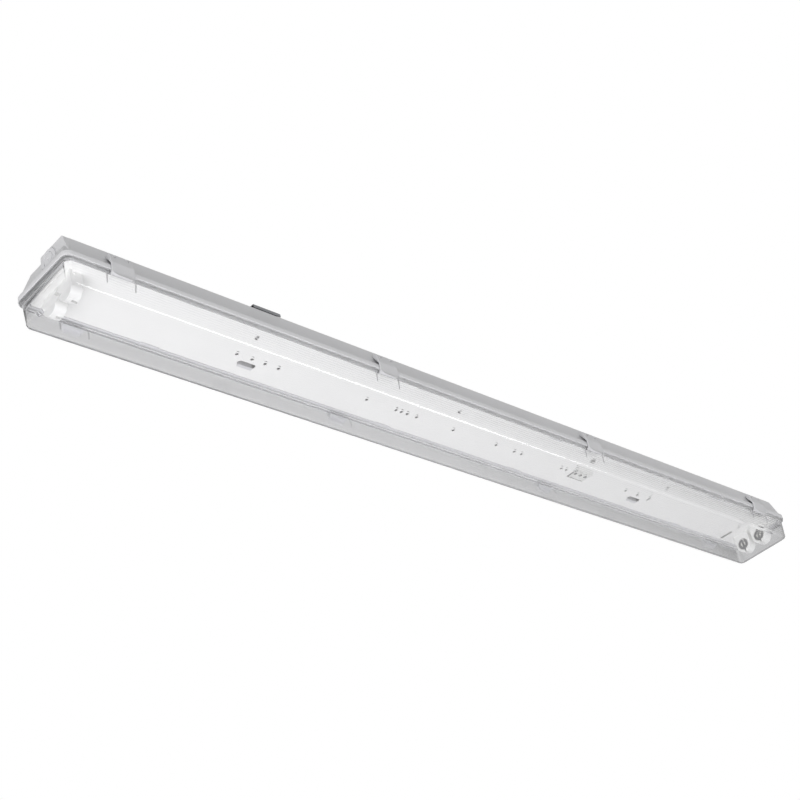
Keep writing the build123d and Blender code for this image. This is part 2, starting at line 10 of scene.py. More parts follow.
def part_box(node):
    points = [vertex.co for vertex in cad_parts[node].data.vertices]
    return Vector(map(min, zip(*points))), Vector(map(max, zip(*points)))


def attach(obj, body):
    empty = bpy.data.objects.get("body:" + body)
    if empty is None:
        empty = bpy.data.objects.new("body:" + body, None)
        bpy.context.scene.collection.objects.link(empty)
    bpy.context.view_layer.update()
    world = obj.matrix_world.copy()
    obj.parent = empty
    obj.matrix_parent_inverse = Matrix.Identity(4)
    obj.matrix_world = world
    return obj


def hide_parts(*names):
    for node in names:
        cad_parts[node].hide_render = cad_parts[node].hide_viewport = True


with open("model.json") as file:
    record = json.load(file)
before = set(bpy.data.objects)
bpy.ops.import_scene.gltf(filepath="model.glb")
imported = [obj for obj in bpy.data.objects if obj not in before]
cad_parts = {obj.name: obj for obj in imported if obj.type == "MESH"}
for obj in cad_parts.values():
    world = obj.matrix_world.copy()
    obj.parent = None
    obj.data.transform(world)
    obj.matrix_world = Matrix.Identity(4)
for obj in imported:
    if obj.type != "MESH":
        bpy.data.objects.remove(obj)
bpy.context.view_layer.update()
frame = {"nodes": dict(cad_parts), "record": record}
mm = 0.001
housingLow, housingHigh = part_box("housing")
halfL = housingHigh.x / mm  # half length, half width and rim plane of the fixture, in mm
halfW = housingHigh.y / mm
rimZ = housingLow.z / mm
roofZ = 36.0  # roof of the housing above the rim, in mm
bothSides = (-1, 1)


# Materials

def linear(hexText):
    # sRGB hex to linear: the standard curve with its straight foot below 0.04045
    c = np.array([int(hexText[i:i + 2], 16) for i in (1, 3, 5)]) / 255.0
    c = np.where(c <= 0.04045, c / 12.92, ((c + 0.055) / 1.055) ** 2.4)
    return (*c.tolist(), 1.0)


def addNode(tree, kind, inputs=None, **settings):
    # one node with its settings; each input is a value or the socket that feeds it
    node = tree.nodes.new(kind)
    for key, value in settings.items():
        setattr(node, key, value)
    for key, value in (inputs or {}).items():
        if isinstance(value, bpy.types.NodeSocket):
            tree.links.new(value, node.inputs[key])
        else:
            node.inputs[key].default_value = value
    return node


def fillRamp(ramp, positions, colors):
    # stops in order, each with its position and colour
    for stop, position, color in zip(ramp.color_ramp.elements, positions, colors):
        stop.position = position
        stop.color = color


def perMetre(sizeMm):
    # texture scale that makes one feature of that size
    return 1.0 / (sizeMm * mm)


def newMaterial(name):
    # empty tree with its output, and the object's own coordinates for the patterns
    material = bpy.data.materials.new(name)
    material.use_nodes = True
    tree = material.node_tree
    tree.nodes.clear()
    output = addNode(tree, "ShaderNodeOutputMaterial")
    coords = addNode(tree, "ShaderNodeTexCoord").outputs["Object"]
    return material, tree, output, coords


# eroded mould grain is about 0.1 mm, drawn at 0.5 to 0.9 mm so that it shows close up
moulding = {"stops": (0.3, 0.7), "driftDetail": 3.0, "grainDetail": 2.0, "roughSwing": 0.06, "depthMm": 0.05}


def mouldedPlastic(name, spec):
    # injection moulded: near even colour with a slow drift, fine eroded grain, half gloss
    material, tree, output, coords = newMaterial(name)
    m = moulding
    drift = addNode(tree, "ShaderNodeTexNoise", {
        "Vector": coords, "Scale": perMetre(spec["driftMm"]), "Detail": m["driftDetail"]})
    grain = addNode(tree, "ShaderNodeTexNoise", {
        "Vector": coords, "Scale": perMetre(spec["grainMm"]), "Detail": m["grainDetail"]})
    ramp = addNode(tree, "ShaderNodeValToRGB", {"Fac": drift.outputs["Fac"]})
    fillRamp(ramp, m["stops"], (linear(spec["dark"]), linear(spec["pale"])))
    rough = addNode(tree, "ShaderNodeMapRange", {
        "Value": grain.outputs["Fac"],
        "To Min": spec["rough"] - m["roughSwing"], "To Max": spec["rough"] + m["roughSwing"]})
    bump = addNode(tree, "ShaderNodeBump", {
        "Height": grain.outputs["Fac"], "Strength": spec["bump"], "Distance": m["depthMm"] * mm})
    shader = addNode(tree, "ShaderNodeBsdfPrincipled", {
        "Base Color": ramp.outputs["Color"], "Roughness": rough.outputs["Result"],
        "Normal": bump.outputs["Normal"], "IOR": spec["ior"]})
    tree.links.new(shader.outputs["BSDF"], output.inputs["Surface"])
    return material


polishing = {"hazeDetail": 2.0, "roughShare": (0.6, 1.4)}


def clearCover(name, spec):
    # clear polycarbonate: sharp gloss where polished, soft frost where eroded, lamps shine through it
    material, tree, output, coords = newMaterial(name)
    least, most = polishing["roughShare"]
    haze = addNode(tree, "ShaderNodeTexNoise", {
        "Vector": coords, "Scale": perMetre(spec["hazeMm"]), "Detail": polishing["hazeDetail"]})
    rough = addNode(tree, "ShaderNodeMapRange", {
        "Value": haze.outputs["Fac"], "To Min": spec["rough"] * least, "To Max": spec["rough"] * most})
    glass = addNode(tree, "ShaderNodeBsdfPrincipled", {
        "Base Color": linear(spec["tint"]), "Roughness": rough.outputs["Result"],
        "IOR": spec["ior"], "Transmission Weight": 1.0})
    through = addNode(tree, "ShaderNodeBsdfTransparent", {"Color": linear(spec["tint"])})
    path = addNode(tree, "ShaderNodeLightPath")
    lit = addNode(tree, "ShaderNodeMath", {
        0: path.outputs["Is Shadow Ray"], 1: path.outputs["Is Diffuse Ray"]}, operation="MAXIMUM")
    mix = addNode(tree, "ShaderNodeMixShader", {
        0: lit.outputs["Value"], 1: glass.outputs["BSDF"], 2: through.outputs["BSDF"]})
    tree.links.new(mix.outputs["Shader"], output.inputs["Surface"])
    return material


def enamelSheet(name, spec):
    # stoved white enamel on sheet steel: smooth coat with a slight orange peel
    material, tree, output, coords = newMaterial(name)
    peel = addNode(tree, "ShaderNodeTexNoise", {
        "Vector": coords, "Scale": perMetre(spec["peelMm"]), "Detail": spec["peelDetail"]})
    drift = addNode(tree, "ShaderNodeTexNoise", {
        "Vector": coords, "Scale": perMetre(spec["driftMm"]), "Detail": spec["driftDetail"]})
    ramp = addNode(tree, "ShaderNodeValToRGB", {"Fac": drift.outputs["Fac"]})
    fillRamp(ramp, (0.0, 1.0), (linear(spec["dark"]), linear(spec["pale"])))
    bump = addNode(tree, "ShaderNodeBump", {
        "Height": peel.outputs["Fac"], "Strength": spec["bump"], "Distance": spec["depthMm"] * mm})
    shader = addNode(tree, "ShaderNodeBsdfPrincipled", {
        "Base Color": ramp.outputs["Color"], "Roughness": spec["rough"],
        "Normal": bump.outputs["Normal"], "IOR": spec["ior"]})
    tree.links.new(shader.outputs["BSDF"], output.inputs["Surface"])
    return material


rolling = {"stretch": 0.04, "streakDetail": 3.0, "roughSwing": 0.08, "bump": 0.1, "depthMm": 0.03}


def rolledMetal(name, spec):
    # rolled or plated sheet and turned parts: streaks along X from the mill, soft mirror
    material, tree, output, coords = newMaterial(name)
    m = rolling
    stretch = addNode(tree, "ShaderNodeMapping", {"Vector": coords, "Scale": (m["stretch"], 1.0, 1.0)})
    streak = addNode(tree, "ShaderNodeTexNoise", {
        "Vector": stretch.outputs["Vector"],
        "Scale": perMetre(spec["streakMm"]), "Detail": m["streakDetail"]})
    ramp = addNode(tree, "ShaderNodeValToRGB", {"Fac": streak.outputs["Fac"]})
    fillRamp(ramp, (0.0, 1.0), (linear(spec["dark"]), linear(spec["pale"])))
    rough = addNode(tree, "ShaderNodeMapRange", {
        "Value": streak.outputs["Fac"],
        "To Min": spec["rough"] - m["roughSwing"], "To Max": spec["rough"] + m["roughSwing"]})
    bump = addNode(tree, "ShaderNodeBump", {
        "Height": streak.outputs["Fac"], "Strength": m["bump"], "Distance": m["depthMm"] * mm})
    shader = addNode(tree, "ShaderNodeBsdfPrincipled", {
        "Base Color": ramp.outputs["Color"], "Metallic": 1.0, "Roughness": rough.outputs["Result"],
        "Normal": bump.outputs["Normal"]})
    tree.links.new(shader.outputs["BSDF"], output.inputs["Surface"])
    return material


plastics = {
    # moulded polycarbonate: even light grey with a satin sheen
    "greyHousingPolycarbonate": {"dark": "#CACACC", "pale": "#D1D1D3", "driftMm": 90, "grainMm": 0.8,
                                 "rough": 0.42, "bump": 0.25, "ior": 1.58},
    # moulded acetal: the housing's grey, a little waxier and duller
    "greyClipAcetal": {"dark": "#C8C8CA", "pale": "#CFCFD1", "driftMm": 30, "grainMm": 0.7,
                       "rough": 0.45, "bump": 0.25, "ior": 1.48},
    # moulded PBT: clean white with half gloss
    "whiteHolderPbt": {"dark": "#EAEAE8", "pale": "#F1F1EF", "driftMm": 20, "grainMm": 0.6,
                       "rough": 0.38, "bump": 0.2, "ior": 1.55},
    # moulded PBT, warmer: the rotor's disc stands out from its holder
    "whiteRotorPbt": {"dark": "#C9C8C2", "pale": "#D2D1CC", "driftMm": 12, "grainMm": 0.6,
                      "rough": 0.42, "bump": 0.2, "ior": 1.55},
    # painted shade in the rotor's channel: a dark grey PBT finish makes the pins' slot read as a dark line
    "rotorChannelPaintedShade": {"dark": "#6E6E70", "pale": "#7A7A7C", "driftMm": 12, "grainMm": 0.6,
                         "rough": 0.5, "bump": 0.2, "ior": 1.55},
    # painted shade in the screw funnels: a dark grey nylon finish makes them read as dark spots
    "terminalFunnelPaintedShade": {"dark": "#747476", "pale": "#808082", "driftMm": 8, "grainMm": 0.5,
                              "rough": 0.55, "bump": 0.2, "ior": 1.53},
    # moulded nylon: off white and dull
    "whiteTerminalNylon": {"dark": "#D9D9D6", "pale": "#E1E1DE", "driftMm": 15, "grainMm": 0.5,
                           "rough": 0.5, "bump": 0.25, "ior": 1.53},
    # extruded PVC sleeves: smooth plain colours with a soft shine
    "blackSleevePvc": {"dark": "#191919", "pale": "#222222", "driftMm": 25, "grainMm": 0.5,
                       "rough": 0.4, "bump": 0.15, "ior": 1.53},
    "whiteSleevePvc": {"dark": "#DAD9D5", "pale": "#E4E3DF", "driftMm": 25, "grainMm": 0.5,
                       "rough": 0.4, "bump": 0.15, "ior": 1.53},
    "greenSleevePvc": {"dark": "#1F6B33", "pale": "#2A7C3E", "driftMm": 25, "grainMm": 0.5,
                       "rough": 0.4, "bump": 0.15, "ior": 1.53},
    # foamed cord with a closed skin: mid grey, dull, coarse to the eye
    "greyGasketFoam": {"dark": "#A0A0A2", "pale": "#ACACAE", "driftMm": 6, "grainMm": 0.9,
                       "rough": 0.9, "bump": 0.6, "ior": 1.5},
    # moulded rubber: paler than the housing and nearly matt
    "greyPlugRubber": {"dark": "#CECED1", "pale": "#D6D6D8", "driftMm": 14, "grainMm": 0.7,
                       "rough": 0.65, "bump": 0.3, "ior": 1.52},
}
metals = {
    # zinc plated: bright cool grey with a soft mirror
    "zincPlatedSteel": {"dark": "#B4B4B2", "pale": "#CBCBCA", "streakMm": 0.4, "rough": 0.35},
    # cold rolled stainless with painted shade: its grey is darkened for the shade on the brackets, so they
    # read dark against the pale plastic; faint mill streaks
    "stainlessSteelPaintedShade": {"dark": "#737476", "pale": "#898A8D", "streakMm": 0.6, "rough": 0.38},
    # rolled brass: warm yellow strip
    "rolledBrass": {"dark": "#B58F45", "pale": "#C9A55C", "streakMm": 0.4, "rough": 0.32},
}
coverLook = {"tint": "#F9F9FA", "hazeMm": 25, "rough": 0.03, "ior": 1.58}  # polished mould: clear as glass
flangeLook = {"tint": "#DEDEDF", "hazeMm": 6, "rough": 0.5, "ior": 1.58}  # eroded mould: frosted, greyer
enamelLook = {"dark": "#EDEDEB", "pale": "#F3F3F1", "driftMm": 120, "driftDetail": 3.0,  # bright even white
              "peelMm": 2.5, "peelDetail": 1.0, "rough": 0.32, "bump": 0.15, "depthMm": 0.1, "ior": 1.5}

looks = {name: mouldedPlastic(name, spec) for name, spec in plastics.items()}
looks.update({name: rolledMetal(name, spec) for name, spec in metals.items()})
looks["clearPolycarbonate"] = clearCover("clearPolycarbonate", coverLook)
looks["erodedPolycarbonate"] = clearCover("erodedPolycarbonate", flangeLook)
looks["whiteEnamelSteel"] = enamelSheet("whiteEnamelSteel", enamelLook)
print("materials made", len(looks))


# Mesh helpers

edges = {"sharpDeg": 35.0, "bevelFromDeg": 40.0, "bevelSegments": 2, "fittingMm": 0.25}


def closedMesh(name, verts, faces):
    # points in mm from the rim plane, moved to the frame in metres, with every face turned outwards
    verts = np.asarray(verts, float) * mm
    verts[:, 2] += rimZ * mm
    mesh = bpy.data.meshes.new(name)
    mesh.from_pydata(verts.tolist(), [], faces)
    work = bmesh.new()
    work.from_mesh(mesh)
    bmesh.ops.recalc_face_normals(work, faces=work.faces)
    work.to_mesh(mesh)
    work.free()
    return mesh


def putIn(name, data):
    # a new object at the origin of the scene
    item = bpy.data.objects.new(name, data)
    bpy.context.scene.collection.objects.link(item)
    return item


def shadeSmooth(mesh, sharpDeg):
    # smooth shading that breaks where two faces meet at more than the angle
    mesh.polygons.foreach_set("use_smooth", np.ones(len(mesh.polygons), bool))
    mesh.set_sharp_from_angle(angle=math.radians(sharpDeg))


def softenEdges(piece, widthMm, fromDeg):
    # small round along every edge that turns by more than the angle
    bevel = piece.modifiers.new("softEdges", "BEVEL")
    bevel.width = widthMm * mm
    bevel.segments = edges["bevelSegments"]
    bevel.limit_method = "ANGLE"
    bevel.angle_limit = math.radians(fromDeg)


def finishPiece(name, verts, faces, look, body, slot, sharpDeg=edges["sharpDeg"], bevelMm=0.0):
    # one closed mesh with its finish, on its body
    mesh = closedMesh(name, verts, faces)
    shadeSmooth(mesh, sharpDeg)
    mesh.materials.append(looks[look])
    piece = putIn(name, mesh)
    if bevelMm:
        softenEdges(piece, bevelMm, edges["bevelFromDeg"])
    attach(piece, body)
    return piece


def faceCentres(mesh):
    # middle of every face, as rows of (x, y, z)
    centre = np.empty(3 * len(mesh.polygons))
    mesh.polygons.foreach_get("center", centre)
    return centre.reshape(-1, 3)


def paintFaces(mesh, look, chosen):
    # a second finish on the chosen faces
    mesh.materials.append(looks[look])
    mesh.polygons.foreach_set("material_index", chosen.astype(np.int32))


def ringFaces(rings, around):
    # quads between neighbouring rings of points, and one flat face on the first and on the last ring
    index = np.arange(rings * around).reshape(rings, around)
    turned = np.roll(index, -1, axis=1)
    quads = np.stack([index[:-1], turned[:-1], turned[1:], index[1:]], axis=-1).reshape(-1, 4)
    return quads.tolist() + [index[0].tolist(), index[-1].tolist()]


def even(inset):
    # the same inset at the ends and along the sides
    return np.stack([inset, inset], axis=-1)


def profileRows(inset, corner, z, wave=0.0):
    # one stretch of a profile as rows of (inset at the ends, inset along the sides, corner, height, wave),
    # where single numbers are repeated along the stretch
    ends, sides = np.moveaxis(np.asarray(inset, float), -1, 0)
    columns = [np.atleast_1d(np.asarray(v, float)) for v in (ends, sides, corner, z, wave)]
    return np.stack(np.broadcast_arrays(*columns), axis=-1)


def loopStack(profile, arcSteps=9):
    # rounded rectangles stacked along a profile: a corner point lies at centre + corner * (cos a, sin a),
    # the centre at (half - inset - corner) in both directions, the straight sides join the four arcs,
    # and the wave lifts a point by its share |sin a|
    insetX, insetY, corner, z, wave = (column[:, None] for column in profile.T)
    a = np.radians(np.concatenate([np.linspace(q * 90, q * 90 + 90, arcSteps) for q in range(4)]))[None, :]
    signX = np.repeat([1, -1, -1, 1], arcSteps)[None, :]
    signY = np.repeat([1, 1, -1, -1], arcSteps)[None, :]
    x = signX * (halfL - insetX - corner) + corner * np.cos(a)
    y = signY * (halfW - insetY - corner) + corner * np.sin(a)
    verts = np.stack(np.broadcast_arrays(x, y, z + wave * np.abs(np.sin(a))), axis=-1)
    return verts.reshape(-1, 3), ringFaces(*verts.shape[:2])


def lathe(rows, atY, atZ, steps=48):
    # rows of (radius, x) spun round an axis along X: y = atY + r * cos a, z = atZ + r * sin a
    r, x = (column[:, None] for column in np.asarray(rows, float).T)
    a = np.linspace(0, 2 * math.pi, steps, endpoint=False)[None, :]
    verts = np.stack(np.broadcast_arrays(x, atY + r * np.cos(a), atZ + r * np.sin(a)), axis=-1)
    return verts.reshape(-1, 3), ringFaces(*verts.shape[:2])


def prismX(outline, x0, x1):
    # outline of (y, z) points carried straight along X, closed by two flat ends
    outline = np.asarray(outline, float)
    ends = [np.column_stack([np.full(len(outline), x), outline]) for x in (x0, x1)]
    return np.concatenate(ends), ringFaces(len(ends), len(outline))


def alongSides(outline, places, half, sides=bothSides):
    # the outline on each side, its y mirrored to match, as a prism of two halves about each place
    outline = np.asarray(outline, float)
    return [prismX(outline * (side, 1), x - half, x + half) for x in places for side in sides]


def paired(places, offset):
    # each place less and plus the offset
    return [x + step for x in places for step in (-offset, offset)]


def joinParts(parts):
    # several closed shells as one mesh: their points in a row, their face numbers shifted to match
    verts, faces, start = [], [], 0
    for points, polygons in parts:
        verts.append(points)
        faces += [[i + start for i in polygon] for polygon in polygons]
        start += len(points)
    return np.concatenate(verts), faces


def arcPoints(centre, radius, startDeg, endDeg, steps):
    # points at centre + radius * (cos a, sin a) for even steps of the angle
    a = np.radians(np.linspace(startDeg, endDeg, steps))
    return np.column_stack([centre[0] + radius * np.cos(a), centre[1] + radius * np.sin(a)])


# Housing: one shell, its profile carried round the rounded rectangle

housing = {"skirt": 7.0, "skirtWall": 2.4, "ledge": 2.5, "ledgeRound": 1.5, "lean": 10.5, "wall": 2.4,
           "topRound": 2.4, "rimCorner": 10.0, "hoodCorner": 8.0, "hoodTopCorner": 3.0, "leastCorner": 0.8,
           "groove": 3.0, "grooveDepth": 5.5, "lip": 2.2, "lipTop": 7.9, "endStep": 3.4, "sideStep": 0.05,
           "edge": 0.4, "footStep": 0.1, "cavityCorner": 3.0, "cavityMargin": 3.0, "cavityMidCorner": 2.0,
           "crownMargin": 12.0, "crownCorner": 1.5, "edgeSteps": 4, "ledgeSteps": 6, "roofSteps": 7,
           "sharpDeg": 40.0, "padX": 627.5, "entryY": -10.0, "entryZ": 22.0, "spotRadius": 12.7,
           "spotSink": 0.1, "spotReach": 5.0}
hoodRise = roofZ - housing["skirt"]
hoodSlope = math.degrees(math.atan2(housing["lean"], hoodRise))  # lean of the hood's walls
roofReach = housing["topRound"] * math.tan(math.radians(90 - hoodSlope) / 2)  # wall top to round's centre


def rimRows(inset, z):
    # rows whose corners keep the centre of the rim's corner: corner = rim corner - inset
    inset = np.asarray(inset, float)
    return profileRows(even(inset), housing["rimCorner"] - inset, z)


def housingProfile():
    # stretches in order: cavity roof, cavity wall, rim with its groove, skirt, ledge, foot of the hood,
    # rounded roof edge and crown
    h = housing
    e, skirtIn = h["edge"], h["skirtWall"]
    grooveIn = skirtIn + h["groove"]
    rim = grooveIn + h["lip"]
    top = h["ledge"] + h["lean"]
    cavity = top + h["wall"]
    cavityZ = roofZ - h["wall"]
    skirtArcs = np.concatenate([
        arcPoints((e, e), e, 270, 180, h["edgeSteps"]),
        arcPoints((h["ledgeRound"], h["skirt"] - h["ledgeRound"]), h["ledgeRound"], 180, 90, h["ledgeSteps"]),
    ])
    roofCentre = (top + roofReach, roofZ - h["topRound"])
    roofArc = arcPoints(roofCentre, h["topRound"], 180 - hoodSlope, 90, h["roofSteps"])
    share = (roofArc[:, 1] - h["skirt"]) / hoodRise
    roofCorner = h["hoodCorner"] + (h["hoodTopCorner"] - h["hoodCorner"]) * share
    return np.concatenate([
        profileRows(even(cavity + h["cavityMargin"]), h["cavityMidCorner"], cavityZ),
        profileRows(even(cavity), h["cavityCorner"], cavityZ),
        profileRows((rim + h["endStep"], rim + h["sideStep"]), h["rimCorner"] - rim, h["lipTop"]),
        rimRows([rim, rim, rim - e, grooveIn + e, grooveIn, grooveIn, skirtIn, skirtIn, skirtIn - e],
                [h["lipTop"], e, 0.0, 0.0, e, h["grooveDepth"], h["grooveDepth"], e, 0.0]),
        rimRows(skirtArcs[:, 0], skirtArcs[:, 1]),
        profileRows(even(h["ledge"] - e), h["hoodCorner"] + e, h["skirt"]),
        profileRows(even(h["ledge"] + h["footStep"]), h["hoodCorner"], h["skirt"] + e),
        profileRows(even(roofArc[:, 0]), np.maximum(roofCorner, h["leastCorner"]), roofArc[:, 1]),
        profileRows(even(top + h["crownMargin"]), h["crownCorner"], roofZ),
    ])


shell = finishPiece("housingShell", *loopStack(housingProfile()), "greyHousingPolycarbonate", "fixture",
                    "housing_plastic", sharpDeg=housing["sharpDeg"])
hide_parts("housing")


def cutSpotFaces():
    # round seats for the entry plugs, two turned solids taken out of the end walls
    h = housing
    r = h["spotRadius"]
    rows = np.array([(r, h["padX"] - h["spotSink"]), (r, halfL + h["spotReach"])])
    seats = [lathe(rows * (1, side), h["entryY"], h["entryZ"]) for side in bothSides]
    cutter = putIn("spotCut", closedMesh("spotCut", *joinParts(seats)))
    boolean = shell.modifiers.new("spotFaces", "BOOLEAN")
    boolean.object = cutter
    boolean.operation = "DIFFERENCE"
    boolean.solver = "EXACT"
    result = bpy.data.meshes.new_from_object(shell.evaluated_get(bpy.context.evaluated_depsgraph_get()))
    shell.modifiers.clear()
    shell.data = result
    result.set_sharp_from_angle(angle=math.radians(h["sharpDeg"]))
    bpy.data.objects.remove(cutter)


cutSpotFaces()
print("housing shell", len(shell.data.polygons))


# Housing fittings: end pads, clip hooks, tray lips, bracket rails and tray latches

pad = {"depth": 16.0, "farEdge": 6.0, "sink": 1.0, "lap": 0.2, "lift": 0.06, "arcSteps": 6}
hook = {"pivotU": 44.866, "pivotZ": 21.5, "radius": 3.0, "bore": 1.68, "mouth": 2.7, "mouthDeg": 60.0,
        "thick": 4.0, "spread": 16.0, "sink": 1.2, "arcSteps": (3, 22, 12)}
lip = {"x": (-470, -120, 120, 470), "length": 24.0, "inner": 39.6, "outer": 42.5, "low": 0.35, "high": 1.8}
rail = {"x": (-355, 355), "half": 23.25, "claw": 26.2, "inner": 27.7, "outer": 29.5,
        "foot": 35.0, "clawLow": 37.4, "top": 38.6}
latch = {"x": (-350, 350), "half": 10.0, "back": 21.4, "front": 23.6, "claw": 25.6,
         "low": 0.5, "clawTop": 1.8, "top": 34.6}
clipX = (-565.5, -188.5, 188.5, 565.5)


def wallAt(z):
    # outward distance of the long wall's outer face at a height above the rim
    return halfW - housing["ledge"] - housing["lean"] * (z - housing["skirt"]) / hoodRise


def padOutline():
    # flat pad across the end: along the ledge, up its far edge, and two arcs that follow the roof edge
    h, p = housing, pad
    r = h["topRound"]
    arcZ = roofZ - r - p["lift"]
    nearY = p["lap"] - (halfW - h["ledge"] - h["lean"] - roofReach)
    low = h["skirt"] - p["sink"]
    return np.concatenate([
        [(p["lap"] - wallAt(h["skirt"]), low), (p["farEdge"], low)],
        arcPoints((p["farEdge"] - r, arcZ), r, 0, 90, p["arcSteps"]),
        arcPoints((nearY, arcZ), r, 90, 180 - hoodSlope, p["arcSteps"]),
    ])


def hookOutline():
    # open hook round the clip's pin: flat top, outer arc, mouth on the upper outer side, foot in the wall
    g = hook
    at, r = (g["pivotU"], g["pivotZ"]), g["radius"]
    inner = math.degrees(math.asin(g["mouth"] / 2 / g["bore"]))
    outer = math.degrees(math.asin(g["mouth"] / 2 / r))
    high, low = at[1] + r, at[1] - 2 * r
    topSteps, boreSteps, outerSteps = g["arcSteps"]
    return np.concatenate([
        [(wallAt(high) - g["sink"], high)],
        arcPoints(at, r, 90, g["mouthDeg"] + outer, topSteps),
        arcPoints(at, g["bore"], g["mouthDeg"] + inner, g["mouthDeg"] + 360 - inner, boreSteps),
        arcPoints(at, r, g["mouthDeg"] - outer, -90, outerSteps),
        [(wallAt(low) - g["sink"], low)],
    ])


def clawOutline(inner, outer, claw, foot, clawZ, top):
    # upright strip of (y, z) from foot to top, whose top turns over towards the claw's edge
    return [(inner, foot), (outer, foot), (outer, top), (claw, top), (claw, clawZ), (inner, clawZ)]


def housingFittings():
    # every fitting is an outline carried along X
    ends = [side * housing["padX"] for side in bothSides]
    parts = [prismX(padOutline(), x - math.copysign(pad["depth"], x), x) for x in ends]
    parts += alongSides(hookOutline(), paired(clipX, hook["spread"] / 2), hook["thick"] / 2)
    lipOutline = [(lip["inner"], lip["low"]), (lip["outer"], lip["low"]),
                  (lip["outer"], lip["high"]), (lip["inner"], lip["high"])]
    parts += alongSides(lipOutline, lip["x"], lip["length"] / 2)
    railOutline = clawOutline(
        rail["inner"], rail["outer"], rail["claw"], rail["foot"], rail["clawLow"], rail["top"])
    parts += alongSides(railOutline, rail["x"], rail["half"])
    latchOutline = clawOutline(
        latch["front"], latch["back"], latch["claw"], latch["top"], latch["clawTop"], latch["low"])
    parts += alongSides(latchOutline, latch["x"], latch["half"], sides=(1,))
    return joinParts(parts)


fitted = finishPiece("housingFittings", *housingFittings(), "greyHousingPolycarbonate", "fixture",
                     "housing_plastic", sharpDeg=housing["sharpDeg"], bevelMm=edges["fittingMm"])
print("housing fittings", len(fitted.data.polygons))


# Entry plugs: turned profile of flange, moulded ring, centre dot and stem

plug = {"flange": 12.6, "thick": 1.6, "ring": 8.6, "ringWidth": 1.0, "dot": 1.5, "relief": 0.7, "stem": 10.1,
        "stemDepth": 2.3, "eye": 0.5, "edge": 0.35}


def plugProfile():
    # rows of (radius, x): from the middle of the face out over dot, ring and flange, then back to the stem
    q = plug
    seat = housing["padX"]
    face = seat + q["thick"]
    sunk = face - q["relief"]
    ringIn = q["ring"] - q["ringWidth"]
    return np.array([
        (q["eye"], sunk), (q["dot"], sunk), (q["dot"], face), (ringIn, face),
        (ringIn, sunk), (q["ring"], sunk), (q["ring"], face),
        (q["flange"] - q["edge"], face), (q["flange"], face - q["edge"]), (q["flange"], seat),
        (q["stem"], seat), (q["stem"], seat - q["stemDepth"]), (q["eye"], seat - q["stemDepth"]),
    ])


for end, side in (("left", -1), ("right", 1)):
    turned = lathe(plugProfile() * (1, side), housing["entryY"], housing["entryZ"])
    piece = finishPiece("entryPlug." + end, *turned, "greyPlugRubber", "fixture", "plug_rubber")
    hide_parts("entry_plug_" + end)
print("entry plugs turned")


# Diffuser: outer skin, flange, tongue and ribbed inside as one shell

# the ribs are lower than in the solid, so that their lines stay as faint as on the real cover
cover = {"flangeGap": 0.4, "flangeTop": -0.2, "flangeLow": -1.4, "flangeReach": 3.0, "chamfer": 3.575,
         "flangeEdge": 0.2, "chamferEdge": 0.1, "rootEdge": 0.3, "rootDrop": 0.5,
         "tongueOut": 3.0, "tongueIn": 4.8, "tongueTop": 2.4, "tongueEdge": 0.3, "frostMargin": 0.1,
         "wall": 2.4, "wallInset": 3.1, "sideInset": 4.5, "endInset": 6.5, "corner": 8.0,
         "depth": 32.5, "faceThick": 2.2, "faceRound": 3.5, "innerRound": 2.9, "faceMargin": 8.0,
         "faceCorner": 2.0, "outerSteps": 9, "innerSteps": 7,
         "ribPitch": 3.4, "ribHeight": 0.05, "ribFoot": 0.1, "ribBand": 13.6, "ribSteps": 8}
coverLean = np.array([cover["endInset"], cover["sideInset"]]) - cover["wallInset"]
coverLean /= cover["depth"] + cover["flangeTop"]  # inset gained per mm of depth, at the ends and sides
chamferRoot = cover["flangeLow"] - cover["chamfer"]


def coverInset(z):
    # inset of the cover's outer wall at a height: wall inset + lean * depth below the flange
    return cover["wallInset"] + np.multiply.outer(cover["flangeTop"] - np.asarray(z, float), coverLean)


def ribWave(count):
    # even steps along a stretch of ribs, and the height there: half of (1 - cos), once for each rib
    t = np.linspace(0, 1, count * cover["ribSteps"] + 1)
    return t, cover["ribHeight"] * (1 - np.cos(2 * math.pi * count * t)) / 2


